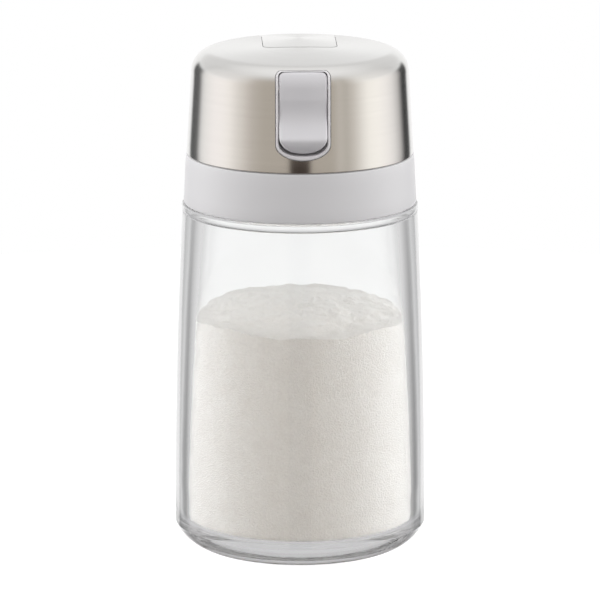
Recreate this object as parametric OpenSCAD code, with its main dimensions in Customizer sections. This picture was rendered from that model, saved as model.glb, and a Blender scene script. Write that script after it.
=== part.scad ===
// Sugar dispenser: a heavy glass jar with a screw-on lid, a thumb lever in front and a pouring flap behind.
// Millimetres, +Z up. The origin is at the middle of the jar's base, and the lever faces -Y.

/* [Jar] */
// Height of the glass up to the shoulder under the collar
jar_h = 105.3; // [95:0.1:120]
// Radius of the jar at its widest, just over the heel
jar_r = 37.8; // [36:0.1:42]
// How much narrower the jar is at the top, all round
jar_taper = 2.6; // [1.8:0.1:2.8]
// Height of the rounded heel
heel_h = 7.3; // [5:0.1:9]
// How far the ring that the jar stands on lies inside the jar's widest radius
foot_in = 10.9; // [8:0.1:12]
// Width of the ring that the jar stands on
foot_w = 4.9; // [4:0.1:9]
// Depth of the hollow under the base
punt_d = 1.5; // [0.5:0.1:3]
// Thickness of the glass base, counted from the surface it stands on
base_t = 7.5; // [6:0.1:10]
// Thickness of the glass wall
wall_t = 4.4; // [3.5:0.1:4.8]
// Height of the bead round the top of the jar
bead_h = 2.9; // [2:0.1:4]
// How far the bead stands out from the wall
bead_out = 0.16; // [0.1:0.02:0.4]
// How far the threaded neck lies inside the jar's widest radius
neck_in = 6.6; // [6.4:0.1:6.8]
// Thickness of the neck's wall
neck_t = 3; // [2.7:0.1:3.1]
// Height over which the neck opens out into the jar inside
throat_h = 2.5; // [2:0.25:4]

/* [Collar] */
// Gap between the glass shoulder and the collar
lid_gap = 0.33; // [0.2:0.01:0.6]
// Height of the collar
collar_h = 14.75; // [13:0.05:17]
// How far the collar's lower edge lies inside the jar's widest radius
collar_in = 2.87; // [2.5:0.01:2.95]
// How much narrower the collar is at its upper edge, all round
collar_taper = 0.76; // [0.4:0.02:0.9]
// Room for the threads between the neck and the collar
thread_room = 1.8; // [1.4:0.1:1.9]
// Thickness of the collar's top flange
flange_t = 1.5; // [1.2:0.1:2]
// How far the flange reaches in over the neck's mouth
flange_in = 1.2; // [0.8:0.1:2]
// Thickness of the jar's gasket
gasket_t = 1.2; // [0.8:0.1:1.6]
// Width of the gasket ring
gasket_w = 3.8; // [3:0.1:4.2]

/* [Cap] */
// Height of the steel cap
cap_h = 32.42; // [30:0.02:36]
// How far the cap's lower edge lies inside the jar's widest radius
cap_in = 3.78; // [3.7:0.01:3.85]
// How much narrower the cap is where its side would meet the dome
cap_taper = 1.83; // [1.4:0.01:2]
// Rise of the domed top
dome_rise = 1.6; // [1:0.1:2]
// Radius of the cap's rounded shoulder
shoulder_r = 6.4; // [5.8:0.1:7]
// Thickness of the sheet steel
steel_t = 0.6; // [0.4:0.05:0.7]
// Thickness of the plastic inner cap
liner_t = 1.2; // [1:0.05:1.3]
// Thickness of the floor plate
plate_t = 1.6; // [1.2:0.1:2]

/* [Lever] */
// Half the width of the bezel round the lever
bezel_half = 8; // [7.6:0.1:8.6]
// Thickness of the bezel's rim at the sides
bezel_wall = 0.75; // [0.6:0.05:0.85]
// Thickness of the bezel's rim under the lever
bezel_lip = 1.25; // [1:0.05:1.4]
// How far the rim stands out from the steel
bezel_proud = 0.25; // [0.1:0.05:0.4]
// Distance from the cap's top to the bezel's upper edge
bezel_drop = 2.2; // [2:0.1:2.6]
// Distance from the cap's lower edge to the bezel's lower edge
bezel_foot = 4.2; // [4:0.1:5]
// Gap between the lever and the bezel at the sides
lever_gap = 0.2; // [0.15:0.01:0.25]
// Gap under the lever, seen from the front
lever_floor_gap = 0.7; // [0.65:0.05:0.9]
// How far the thumb ledge stands out from the cap's side
ledge_out = 3.3; // [2.5:0.1:3.8]
// Height of the ledge over the lever's lower end
ledge_h = 4.8; // [4.2:0.1:5.2]
// Thickness of the lever's paddle
paddle_t = 2; // [1.6:0.1:2.4]
// Distance of the lever's axle inside the radius of the cap's lower edge
axle_in = 4.52; // [4.3:0.02:4.9]
// Distance of the lever's axle below the cap's top
axle_drop = 7.8; // [7.4:0.1:8.2]
// Radius of the lever's axle
axle_r = 1; // [0.8:0.05:1.1]
// Width of the lever's arm under the dome
arm_w = 5; // [4:0.1:5.2]

/* [Flap] */
// Half the width of the flap
flap_half = 11; // [10.8:0.1:12]
// Distance of the flap's hinge ahead of the spout
hinge_ahead = 10.2; // [10:0.1:10.6]
// Distance of the hinge below the cap's top
hinge_drop = 2.6; // [2.55:0.05:2.8]
// Radius of the hinge pin
pin_r = 0.8; // [0.6:0.05:0.9]
// Length of the flap ahead of its hinge
flap_ahead = 8; // [7:0.1:9]
// Distance of the flap's lower edge below the cap's top
flap_low = 16.8; // [16:0.1:18]
// Gap along the flap's front edge
seam_front = 0.55; // [0.5:0.05:0.7]
// Gap along the flap's sides
seam_side = 0.35; // [0.25:0.05:0.45]
// Width of the ledge that backs the flap's edge
flap_ledge = 1; // [0.8:0.05:1.2]
// Thickness of the silicone seal
seal_t = 1.3; // [1:0.1:1.5]

/* [Spout] */
// Half the width of the spout
spout_half = 9; // [8.8:0.1:9.1]
// Thickness of the spout's walls
spout_t = 1.2; // [1:0.05:1.3]
// Distance of the spout's back wall at its foot inside the radius of the cap's lower edge
spout_in = 7.02; // [6.6:0.02:7.2]
// Depth of the spout from front to back at its foot
spout_deep = 10.8; // [10.4:0.1:10.8]
// Distance of the mouth's front edge below the cap's top
mouth_drop = 5.8; // [5.7:0.05:6.2]
// Slope of the spout's mouth
mouth_a = 29; // [27:0.5:30]

/* [Springs] */
// Diameter of the spring wire
wire_d = 0.5; // [0.4:0.05:0.55]
// Turns of the lever's spring
lever_turns = 5; // [4:1:5]
// Turns of the flap's spring
flap_turns = 4; // [3:1:4]

/* [Screws] */
// Distance of the lid screws inside the radius of the cap's lower edge
screw_in = 10.55; // [10.4:0.05:10.9]
// Angle between the lid screws and the line from left to right
screw_a = 35.1; // [34.5:0.1:35.5]
// Radius of a lid screw's shank
screw_r = 1.25; // [1:0.05:1.3]
// Radius of a lid screw's head
head_r = 2.3; // [2:0.1:2.4]

/* [Hidden] */
$fn = 96;

// Clearances: faces that rest on each other, skins over plastic, pins in their holes and moving faces
seat = 0.05;
skin_gap = 0.05;
pin_fit = 0.04;
run_gap = 0.3;

// Radii that follow the jar's widest radius
foot_r = jar_r - foot_in;
punt_r = foot_r - foot_w;
neck_r = jar_r - neck_in;
neck_bore_r = neck_r - neck_t;
thread_r = neck_r + thread_room;
collar_r = jar_r - collar_in;
flange_hole_r = neck_bore_r - flange_in;
cap_r = jar_r - cap_in;
screw_c = cap_r - screw_in;

// Heights of the stack from the jar to the dome
collar_z = jar_h + lid_gap;
cap_z = collar_z + collar_h;
top_z = cap_z + cap_h;
flange_z = cap_z - flange_t;
neck_top = flange_z - gasket_t - 2 * seat;
plate_top = cap_z + plate_t;

// The cap's side is a cone, its top a wide sphere, and an arc joins them
side_slope = cap_taper / (cap_h - dome_rise);
side_n = sqrt(1 + side_slope * side_slope);
eave_r = cap_r - cap_taper;
dome_r = (eave_r * eave_r + dome_rise * dome_rise) / (2 * dome_rise);
dome_z = top_z - dome_r;
arc_reach = cap_side(dome_z) - shoulder_r * side_n;
arc_room = dome_r - shoulder_r;
arc_up = (arc_reach * side_slope + sqrt(side_n * side_n * arc_room * arc_room - arc_reach * arc_reach))
    / (side_n * side_n);
shoulder_c = [arc_reach - side_slope * arc_up, dome_z + arc_up];
arc_from = atan(side_slope);
arc_to = atan2(arc_up, shoulder_c.x);

// How far inside the steel's outer face each layer lies
liner_d = steel_t + skin_gap;
inside_d = liner_d + liner_t;
spout_d = inside_d + run_gap - seat;

// Length of a cutter that goes right through the lid
through = 2 * cap_r;

// Posts, lugs and pilot holes of the lid screws
lug_r = 4;
lug_t = 3.2;
post_r = 3;
pilot_l = 9;

// Lever
axle_y = cap_r - axle_in;
axle_z = top_z - axle_drop;
bezel_top = top_z - bezel_drop;
bezel_low = cap_z + bezel_foot;
bezel_corner = 1.8;
bezel_round = 4.6;
lever_half = bezel_half - bezel_wall - lever_gap;
lever_top = bezel_top - 0.4;
lever_low = bezel_low + bezel_lip + lever_floor_gap;
lever_round = 4.5;
ledge_z = lever_low + ledge_h;
pocket_back = axle_y - 4.7;
pocket_t = 1.2;
arm_hole_z = axle_z - 5.5;
boss_r = axle_r + 1.2;
arm_top = axle_z - 4.8;
arm_t = 3.4;
finger_r = 1.2;
finger_gap = 0.1;

// Flap
spout_back = cap_r - spout_in;
spout_y = spout_back - spout_deep;
hinge_y = spout_y - hinge_ahead;
hinge_z = top_z - hinge_drop;
finger_y = hinge_y + 8.5;
flap_front = hinge_y - flap_ahead;
flap_z = top_z - flap_low;
flap_corner = 2.5;
flap_round = 4;
knuckle_r = 1.7;
knuckle_half = 7.8;
knuckle_in = 4.5;
pad_drop = 2.4;
pad_ahead = 3.3;
backing_half = flap_half - flap_ledge - run_gap;
seal_gap = 0.15;
seal_half = spout_half - 0.4;
seal_y = spout_y - 0.25;
ear_in = knuckle_half + 0.4;
ear_t = 1.4;
ear_r = pin_r + 0.75;

// Spout
mouth_z0 = top_z - mouth_drop;
spout_out = spout_back + 4.5;
foot_half = 14.3;
foot_t = 1.4;
foot_back = spout_y + 8.3;
foot_front = spout_y - 1.2;
small_screw_x = 11.8;
small_screw_y = spout_y + 3.3;
small_screw_r = 0.8;
blind_h = 2.6;

// Springs
coil_in = wire_d / 2 + 0.15;
flap_coil_r = pin_r + coil_in;
coil_x = 3.3;
coil_l = 6.5;
leg_l = 6.5;
lever_coil_r = 2;
spring_z = axle_z - 11.5;
stud_r = 1.2;

// Points of an arc round c, from angle a0 to a1 in n steps
function arc(c, r, a0, a1, n) = [for (i = [0:n]) let (a = a0 + (a1 - a0) * i / n) c + r * [cos(a), sin(a)]];

// Corners of a rectangle with rounded corners
function rounded(x0, y0, x1, y1, r) = concat(
    arc([x1 - r, y0 + r], r, -90, 0, 6), arc([x1 - r, y1 - r], r, 0, 90, 6),
    arc([x0 + r, y1 - r], r, 90, 180, 6), arc([x0 + r, y0 + r], r, 180, 270, 6));

// Point t of a cubic curve through p[0] and p[3]
function curve(p, t) = p[0] * pow(1 - t, 3) + p[1] * 3 * t * pow(1 - t, 2) + p[2] * 3 * t * t * (1 - t)
    + p[3] * pow(t, 3);

// Radius of the cap's side at height z, moved inwards by d
function cap_side(z, d = 0) = cap_r - side_slope * (z - cap_z) - d * side_n;

// The shoulder's arc and the dome, moved inwards by d
function cap_crown(d) = concat(arc(shoulder_c, shoulder_r - d, arc_from, arc_to, 9),
    [for (i = [1:5]) [0, dome_z] + (dome_r - d) * [cos(arc_to + (90 - arc_to) * i / 5),
        sin(arc_to + (90 - arc_to) * i / 5)]]);

// Radius of the jar's outer wall at height z: straight at the heel, drawn in more and more towards the top
function jar_wall(z) = jar_r - jar_taper * pow((z - heel_h) / (jar_h - heel_h), 2);

// Front outline of the bezel or the lever: rounded upper corners and a bulging lower end
function shield(half, top, low, corner, end_h, power) = concat(
    arc([half - corner, top - corner], corner, 0, 90, 5),
    arc([corner - half, top - corner], corner, 90, 180, 5),
    [for (i = [0:20]) let (a = 180 + 9 * i) [half * cos(a),
        low + end_h * (1 - pow(1 - pow(abs(cos(a)), power), 1 / power))]]);

// Height of a plane parallel to the spout's mouth, lifted off it by lift
function mouth_z(y, lift = 0) = mouth_z0 - tan(mouth_a) * (y - spout_y) + lift / cos(mouth_a);

// Puts a flat outline drawn as (y, z) across the model, w wide and centred
module across(w) rotate([90, 0, 90]) linear_extrude(w, center = true) children();

// Puts a flat outline drawn as (x, z) along Y, from y0 to y1
module along(y0, y1) translate([0, y1, 0]) rotate([90, 0, 0]) linear_extrude(y1 - y0) children();

// The cap's whole volume, moved inwards by d, from height z up
module cap_body(d, z = cap_z) rotate_extrude()
    polygon(concat([[0, z], [cap_side(z, d), z]], cap_crown(d)));

// A round wire along a list of points; axis is the direction that the coil runs round
module wire(path, axis) {
    sides = 6;
    n = len(path);
    rings = [for (i = [0:n - 1]) let (
        t = path[min(i + 1, n - 1)] - path[max(i - 1, 0)],
        u = cross(t, axis) / norm(cross(t, axis)),
        v = cross(t / norm(t), u)) [for (k = [0:sides - 1])
            path[i] + wire_d / 2 * (u * cos(k * 360 / sides) + v * sin(k * 360 / sides))]];
    skin = [for (i = [0:n - 2], k = [0:sides - 1]) let (a = i * sides + k, b = i * sides + (k + 1) % sides)
        each [[a, a + sides, b], [b, a + sides, b + sides]]];
    ends = [for (k = [1:sides - 2]) each [[0, k, k + 1],
        [(n - 1) * sides, (n - 1) * sides + k + 1, (n - 1) * sides + k]]];
    polyhedron([for (r = rings) each r], concat(skin, ends));
}

// Least distance between points of a path that lie more than half a turn apart, less the wire
function wire_gap(path, half_turn) = min([for (i = [0:len(path) - 1], j = [i + half_turn:1:len(path) - 1])
    norm(path[i] - path[j])]) - wire_d;

// One solid at each place of the lid's four screws
module at_lid_screws() for (a = [screw_a, 180 - screw_a, 180 + screw_a, -screw_a])
    translate(screw_c * [cos(a), sin(a), 0]) children();

// One solid at each place of the spout's two screws
module at_spout_screws() for (x = [-small_screw_x, small_screw_x])
    translate([x, small_screw_y, 0]) children();

// Glass jar, pressed in one piece: thick base with a hollow under it, slightly tapered wall, bead and neck
module jar() {
    heel_r = (pow(jar_r - foot_r, 2) + heel_h * heel_h) / (2 * heel_h);
    bead_z = jar_h - bead_h;
    bead_r = jar_wall(bead_z) + bead_out;
    throat_z = jar_h - throat_h;
    throat_low = throat_z - throat_h / 2;
    inner_r = jar_wall(throat_z) - wall_t;
    corner = 3;
    steps = 12;
    color([0.86, 0.9, 0.9, 0.4]) rotate_extrude() polygon(concat(
        [[0, punt_d], [punt_r - 2, punt_d], [punt_r, 0]],
        arc([foot_r, heel_r], heel_r, -90, atan2(heel_h - heel_r, jar_r - foot_r), 12),
        [for (i = [0:steps]) let (z = heel_h + 0.01 + (bead_z - heel_h) * i / steps) [jar_wall(z), z]],
        arc([bead_r - 0.3, bead_z + 0.45], 0.3, -90, 0, 3),
        arc([bead_r - 1, jar_h - 1], 1, 0, 90, 6),
        arc([neck_r + 0.6, jar_h + 0.6], 0.6, 270, 180, 4),
        arc([neck_r - 0.8, neck_top - 0.8], 0.8, 0, 90, 4),
        arc([neck_bore_r + 0.8, neck_top - 0.8], 0.8, 90, 180, 4),
        [for (i = [0:8]) curve([[neck_bore_r, jar_h - 1], [neck_bore_r, jar_h - 1 - throat_h / 2],
            [inner_r, throat_z + throat_h / 6], [inner_r, throat_low]], i / 8)],
        [for (i = [1:steps]) let (z = throat_low + (base_t + corner - throat_low) * i / steps)
            [jar_wall(z) - wall_t, z]],
        arc([jar_wall(base_t + corner) - wall_t - corner, base_t + corner], corner, 0, -90, 6),
        [[0, base_t]]));
}

// Silicone ring between the jar's rim and the lid
module jar_gasket() {
    inner = neck_bore_r - 0.4;
    color("gainsboro") translate([0, 0, neck_top + seat])
        rotate_extrude() polygon(rounded(inner, 0, inner + gasket_w, gasket_t, 0.3));
}

// Plastic collar: a skirt over the neck's thread, a flange over the gasket and four lugs for the lid screws
module collar() {
    color("whitesmoke") difference() {
        union() {
            rotate_extrude() polygon(concat(
                [[flange_hole_r, flange_z], [thread_r, flange_z], [thread_r, collar_z + 0.6]],
                arc([thread_r + 0.6, collar_z + 0.6], 0.6, 180, 270, 3),
                arc([collar_r - 0.5, collar_z + 0.5], 0.5, -90, 0, 4),
                arc([collar_r - collar_taper - 0.3, cap_z - 0.3], 0.3, 0, 90, 3),
                [[flange_hole_r, cap_z]]));
            at_lid_screws() translate([0, 0, cap_z - lug_t]) cylinder(r = lug_r, h = lug_t);
        }
        at_lid_screws() {
            translate([0, 0, cap_z - lug_t - 1]) cylinder(r = screw_r + 0.15, h = lug_t + 2);
            translate([0, 0, cap_z - lug_t - 1]) cylinder(r = head_r + 0.3, h = 2.7);
        }
    }
}

// Floor plate: closes the lid under the lever's works and carries the spout
module floor_plate() {
    color("white") difference() {
        union() {
            translate([0, 0, cap_z]) cylinder(r = cap_side(plate_top, liner_d), h = plate_t);
            rotate_extrude() polygon(rounded(cap_side(cap_z, inside_d) - 1.5, cap_z + 0.2,
                cap_side(plate_top, inside_d) - 0.25, plate_top + 2.4, 0.15));
            at_spout_screws() translate([0, 0, cap_z - blind_h])
                cylinder(r = small_screw_r + 1.2, h = blind_h + 0.5);
        }
        spout_bore();
        at_lid_screws() translate([0, 0, cap_z - 1]) cylinder(r = screw_r + 0.15, h = plate_t + 2);
        at_spout_screws() translate([0, 0, cap_z - blind_h + 0.8])
            cylinder(r = small_screw_r + pin_fit, h = blind_h + plate_t);
        translate([-foot_half - 0.5, foot_front - 0.3, plate_top]) cube([2 * foot_half + 1, foot_back, 5]);
        translate([-bezel_half - 3.5, -cap_r, plate_top])
            cube([2 * bezel_half + 7, cap_r - pocket_back + 4.8, 5]);
    }
}

// Plastic inner cap: backs the steel all over and hangs four posts over the lid screws
module inner_cap() {
    color("white") difference() {
        union() {
            difference() {
                cap_body(liner_d, plate_top);
                cap_body(inside_d, cap_z - 1);
            }
            intersection() {
                cap_body(liner_d + liner_t / 2, plate_top);
                at_lid_screws() translate([0, 0, plate_top]) cylinder(r = post_r, h = cap_h);
            }
        }
        bezel_window(0.1);
        flap_space(-flap_ledge, seam_front, -flap_ledge);
        intersection() {
            flap_space(seam_side, seam_front, seam_side);
            translate([-cap_r, -cap_r, cap_z]) cube([2 * cap_r, cap_r + hinge_y + 5, cap_h + 1]);
        }
        at_lid_screws() translate([0, 0, cap_z]) cylinder(r = screw_r + 0.05, h = plate_t + pilot_l);
    }
}

// Drawn steel cap with a window for the lever and a mouth for the flap
module cap_shell() {
    color("silver") difference() {
        cap_body(0);
        cap_body(steel_t, cap_z - 1);
        bezel_window(0.1);
        flap_space(seam_side, seam_front, seam_side);
    }
}

// What the bezel passes through: its own outline with a little room round it
module bezel_window(room) along(-cap_r - 5, 3.5 - axle_y)
    polygon(shield(bezel_half + room, bezel_top + room, bezel_low - room,
        bezel_corner + room, bezel_round, 2));

// Room that the flap takes in the cap, grown at its sides, front and lower edge
module flap_space(side, front, low) {
    half = flap_half + side;
    y0 = flap_front - front;
    z0 = flap_z - low;
    c = flap_corner + side;
    r = flap_round + side;
    intersection() {
        translate([0, 0, flap_z - 8]) linear_extrude(cap_h) polygon(concat([[-half, cap_r + 10]],
            arc([c - half, y0 + c], c, 180, 270, 5), arc([half - c, y0 + c], c, 270, 360, 5),
            [[half, cap_r + 10]]));
        along(flap_front - 5, cap_r + 10) polygon(concat(arc([r - half, z0 + r], r, 180, 270, 6),
            arc([half - r, z0 + r], r, 270, 360, 6), [[half, top_z + 5], [-half, top_z + 5]]));
    }
}

// Plastic bezel: a rim through the steel, a pocket behind the lever and two cheeks for its axle
module lever_bezel() {
    inner_half = bezel_half - bezel_wall;
    inner_low = bezel_low + bezel_lip;
    cheek = 1.3;
    color("gainsboro") difference() {
        union() {
            intersection() {
                cap_body(-bezel_proud);
                along(-cap_r - 5, 2.5 - axle_y)
                    polygon(shield(bezel_half, bezel_top, bezel_low, bezel_corner, bezel_round, 2));
            }
            intersection() {
                cap_body(inside_d + 0.1, plate_top);
                translate([-bezel_half - cheek, -cap_r, plate_top]) cube(
                    [2 * (bezel_half + cheek), cap_r - pocket_back + pocket_t, bezel_top - 2 - plate_top]);
            }
        }
        along(-cap_r - 6, -pocket_back)
            polygon(shield(inner_half, bezel_top - 0.25, inner_low,
                bezel_corner - 0.4, bezel_round - 0.2, 2.5));
        translate([-inner_half, -pocket_back - 1, arm_hole_z - arm_t - 1.4])
            cube([2 * inner_half, 5, cap_h]);
        translate([0, -axle_y, axle_z]) rotate([0, 90, 0])
            cylinder(r = axle_r + 0.02, h = through, center = true);
    }
    color("gainsboro") translate([0, -pocket_back + 0.01, spring_z]) rotate([90, 0, 0])
        cylinder(r = stud_r, h = 2);
}

// Lever: a thumb paddle with a ledge, a boss round the axle and an arm whose finger lifts the flap
module lever() {
    face = -0.1;
    ledge = [cap_side(ledge_z) + ledge_out, ledge_z];
    low_r = cap_side(lever_low) - 0.1;
    back = cap_side(ledge_z) - paddle_t;
    bulge = ledge_z + 11;
    brow = asin((lever_top - shoulder_c.y) / (shoulder_r - face));
    color("gainsboro") difference() {
        union() {
            intersection() {
                rotate_extrude() polygon(concat(
                    arc(shoulder_c, shoulder_r - face, brow, arc_from, 7),
                    [for (i = [0:9]) curve([[cap_side(bulge, face), bulge],
                        [cap_side(bulge) - 0.5, bulge - 5], [cap_side(ledge_z) - 0.4, ledge_z + 4.2],
                        ledge], i / 9)],
                    [for (i = [1:7]) curve([ledge - [0, 0.4], ledge - [0.4, 2.9],
                        [low_r + 1.2, lever_low + 0.1], [low_r - 1.4, lever_low - 0.4]], i / 7)],
                    [[back, lever_low - 0.4], [back, shoulder_c.y],
                        shoulder_c + (shoulder_r - paddle_t) * [cos(brow), sin(brow)]]));
                along(-cap_r - 6, -pocket_back)
                    polygon(shield(lever_half, lever_top, lever_low, bezel_corner - 0.1, lever_round, 2));
            }
            intersection() {
                cap_body(0.6);
                union() {
                    translate([0, -axle_y, axle_z]) rotate([0, 90, 0])
                        cylinder(r = boss_r, h = 2 * lever_half - 0.2, center = true);
                    translate([0.1 - lever_half, -cap_r, axle_z - boss_r])
                        cube([2 * lever_half - 0.2, cap_r - axle_y, 2 * boss_r]);
                }
            }
            across(arm_w) polygon([[-axle_y, axle_z - boss_r + 0.2],
                [-pocket_back + 4, arm_top - arm_t + 0.3], [finger_y + 0.2, arm_top - arm_t],
                [finger_y + 0.7, arm_top - arm_t + 0.6],
                [finger_y + 0.7, hinge_z - pad_drop - finger_gap - finger_r],
                [finger_y - finger_r, hinge_z - pad_drop - finger_gap - finger_r],
                [finger_y - finger_r, arm_top + 1], [finger_y - finger_r - 1.6, arm_top],
                [-pocket_back + 9, arm_top + 0.4], [-axle_y + 1, axle_z + boss_r - 0.2],
                [-axle_y, axle_z + boss_r - 0.2]]);
            translate([0, finger_y, hinge_z - pad_drop - finger_gap - finger_r]) rotate([0, 90, 0])
                cylinder(r = finger_r, h = arm_w, center = true);
        }
        translate([0, -axle_y, axle_z]) rotate([0, 90, 0])
            cylinder(r = axle_r + pin_fit, h = through, center = true);
    }
}

// Steel axle of the lever, held in the bezel's cheeks
module lever_axle() {
    color("silver") translate([0, -axle_y, axle_z]) rotate([0, 90, 0])
        cylinder(r = axle_r, h = 2 * bezel_half, center = true);
}

// Compression spring behind the paddle
lever_spring_from = -cap_side(ledge_z) + paddle_t + wire_d / 2 + 0.1;
lever_spring_to = -pocket_back - wire_d / 2 - 0.02;
lever_spring_path = [for (i = [0:lever_turns * 16]) let (a = i * 22.5, f = i / (lever_turns * 16))
    [lever_coil_r * cos(a), lever_spring_from * (1 - f) + lever_spring_to * f,
        spring_z + lever_coil_r * sin(a)]];
module lever_spring() {
    echo(lever_spring_gap = wire_gap(lever_spring_path, 9));
    color("silver") wire(lever_spring_path, [0, 1, 0]);
}

// Spout: a chute up to the flap, a foot on the floor plate and two ears for the flap's pin
module spout() {
    sill = flap_z + flap_ledge + seat;
    color("white") difference() {
        union() {
            intersection() {
                cap_body(spout_d);
                across(2 * spout_half) polygon([[spout_y, plate_top], [spout_y, mouth_z(spout_y)],
                    [spout_out, mouth_z(spout_out)], [spout_back, plate_top]]);
            }
            intersection() {
                cap_body(liner_d + run_gap);
                flap_space(-flap_ledge - seat, 0, -flap_ledge - seat);
                across(2 * (spout_half - 0.6)) polygon([[spout_back, sill], [cap_r, sill],
                    [cap_r, mouth_z(cap_r)], [spout_back, mouth_z(spout_back)]]);
            }
            translate([0, 0, plate_top]) linear_extrude(foot_t)
                polygon(rounded(-foot_half, foot_front, foot_half, foot_back, 2.5));
            for (x = [-1, 1]) translate([x * (ear_in + ear_t / 2), 0, 0]) {
                across(ear_t) polygon([[hinge_y - 1.4, hinge_z - 1.2], [hinge_y - 1.4, hinge_z - 6],
                    [spout_y - 4, mouth_z0 - 12], [spout_y + 2, mouth_z0 - 16],
                    [spout_y + 2, mouth_z(spout_y + 2)], [spout_y, mouth_z(spout_y)],
                    [hinge_y + 4.2, hinge_z - 3], [hinge_y + 1.6, hinge_z - 0.9]]);
                translate([0, hinge_y, hinge_z]) rotate([0, 90, 0])
                    cylinder(r = ear_r, h = ear_t, center = true);
            }
        }
        spout_bore();
        translate([0, hinge_y, hinge_z]) rotate([0, 90, 0])
            cylinder(r = pin_r + 0.02, h = through, center = true);
        at_spout_screws() translate([0, 0, plate_top - 1]) cylinder(r = small_screw_r + 0.1, h = foot_t + 2);
    }
}

// The way that the sugar takes through the floor plate and the spout
module spout_bore() intersection() {
    cap_body(spout_d + spout_t, cap_z - 5);
    across(2 * (spout_half - spout_t)) polygon([[spout_y + spout_t, cap_z - 4], [spout_y + spout_t, top_z],
        [spout_out + 2, top_z], [spout_out - spout_t, mouth_z(spout_out)], [spout_back - spout_t, plate_top],
        [spout_back - spout_t, cap_z - 4]]);
}

// Steel skin of the flap, cut from the same drawn cap
module flap_shell() {
    color("silver") intersection() {
        difference() {
            cap_body(0);
            cap_body(steel_t, cap_z - 1);
        }
        flap_space(0, 0, 0);
    }
}

// Plastic back of the flap, with its two knuckles, the pad for the lever's finger and the seat of the seal
module flap_carrier() {
    lift = seal_gap + seal_t;
    nose = flap_front + 0.9;
    color("white") difference() {
        union() {
            intersection() {
                cap_body(liner_d);
                flap_space(-flap_ledge - run_gap, 0, -flap_ledge - run_gap);
                union() {
                    across(2 * knuckle_half) polygon([[nose, hinge_z + 1], [hinge_y - knuckle_r, hinge_z + 1],
                        [hinge_y - knuckle_r, hinge_z], [hinge_y + knuckle_r, hinge_z],
                        [hinge_y + pad_ahead, hinge_z - pad_drop], [seal_y - 0.05, hinge_z - pad_drop],
                        [seal_y - 0.05, top_z], [nose, top_z]]);
                    across(2 * backing_half) polygon([[hinge_y + 3.6, mouth_z(seal_y, lift)],
                        [seal_y, mouth_z(seal_y, lift)], [cap_r, mouth_z(cap_r, lift)], [cap_r, top_z],
                        [hinge_y + 3.6, top_z]]);
                }
            }
            for (x = [-1, 1]) translate([x * (knuckle_half + knuckle_in) / 2, hinge_y, hinge_z])
                rotate([0, 90, 0]) cylinder(r = knuckle_r, h = knuckle_half - knuckle_in, center = true);
        }
        translate([0, hinge_y, hinge_z]) rotate([0, 90, 0])
            cylinder(r = pin_r + pin_fit, h = through, center = true);
        translate([-knuckle_in, hinge_y - 2.2, hinge_z - 4]) cube([2 * knuckle_in, 4.6, 8]);
        translate([-3.9, hinge_y + 1, hinge_z - 4]) cube([1.4, 8.2, 4 - flap_coil_r + wire_d / 2 + 0.05]);
    }
}

// Silicone pad under the flap that closes the spout's mouth
module flap_seal() {
    color("gainsboro") intersection() {
        cap_body(liner_d + 0.9);
        translate([0, 0, flap_z - 5]) linear_extrude(cap_h)
            polygon(rounded(-seal_half, seal_y, seal_half, cap_r + 4, 1.5));
        across(3 * seal_half) polygon([[seal_y, mouth_z(seal_y, seal_gap)], [cap_r, mouth_z(cap_r, seal_gap)],
            [cap_r, mouth_z(cap_r, seal_gap + seal_t)], [seal_y, mouth_z(seal_y, seal_gap + seal_t)]]);
    }
}

// Steel pin of the flap, through the ears and the knuckles
module flap_pin() {
    color("silver") translate([0, hinge_y, hinge_z]) rotate([0, 90, 0])
        cylinder(r = pin_r, h = 2 * (ear_in + ear_t), center = true);
}

// Torsion spring on the flap's pin: one leg rests on the spout's front wall, the other under the flap
leg_a = 42.5;
turn_steps = floor(flap_turns * 16 + 16 * (90 - leg_a) / 360);
wall_leg = (spout_y - wire_d / 2 - 0.05 - hinge_y + flap_coil_r * sin(leg_a)) / cos(leg_a);
flap_coil_start = 270 - leg_a;
flap_spring_path = concat(
    [for (s = [1, 0.5]) [coil_x, hinge_y - flap_coil_r * sin(leg_a) + s * wall_leg * cos(leg_a),
        hinge_z - flap_coil_r * cos(leg_a) - s * wall_leg * sin(leg_a)]],
    [for (i = [0:turn_steps]) let (f = i / turn_steps, a = flap_coil_start - f * (360 * flap_turns - leg_a))
        [coil_x - coil_l * f, hinge_y + flap_coil_r * cos(a), hinge_z + flap_coil_r * sin(a)]],
    [for (s = [0.5, 1]) [coil_x - coil_l, hinge_y + s * leg_l, hinge_z - flap_coil_r]]);
module flap_spring() {
    echo(flap_spring_gap = wire_gap(flap_spring_path, 9));
    color("silver") wire(flap_spring_path, [1, 0, 0]);
}

// A pan-head screw with a cross recess, its head's underside at height 0 and its shank pointing up
module screw(shank_r, cap_radius, cap_t, shank_l) {
    difference() {
        translate([0, 0, -cap_t]) cylinder(r = cap_radius, h = cap_t);
        for (a = [0, 90]) rotate(a) translate([-cap_radius * 0.55, -0.25, -cap_t - 0.1])
            cube([cap_radius * 1.1, 0.5, 0.8]);
    }
    cylinder(r = shank_r, h = shank_l);
}

// Four steel screws that hold the collar and the floor plate to the inner cap
module lid_screws() {
    color("silver") at_lid_screws() translate([0, 0, cap_z - 1.5])
        screw(screw_r, head_r, 1.5, plate_t + pilot_l);
}

// Two small steel screws that hold the spout's foot, put in from above
module spout_screws() {
    color("silver") at_spout_screws() translate([0, 0, plate_top + foot_t]) rotate([180, 0, 0])
        screw(small_screw_r, 1.7, 1, foot_t + plate_t + 1.4);
}

jar();
jar_gasket();
collar();
floor_plate();
inner_cap();
cap_shell();
lever_bezel();
lever();
lever_axle();
lever_spring();
spout();
flap_shell();
flap_carrier();
flap_seal();
flap_pin();
flap_spring();
lid_screws();
spout_screws();
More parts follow.
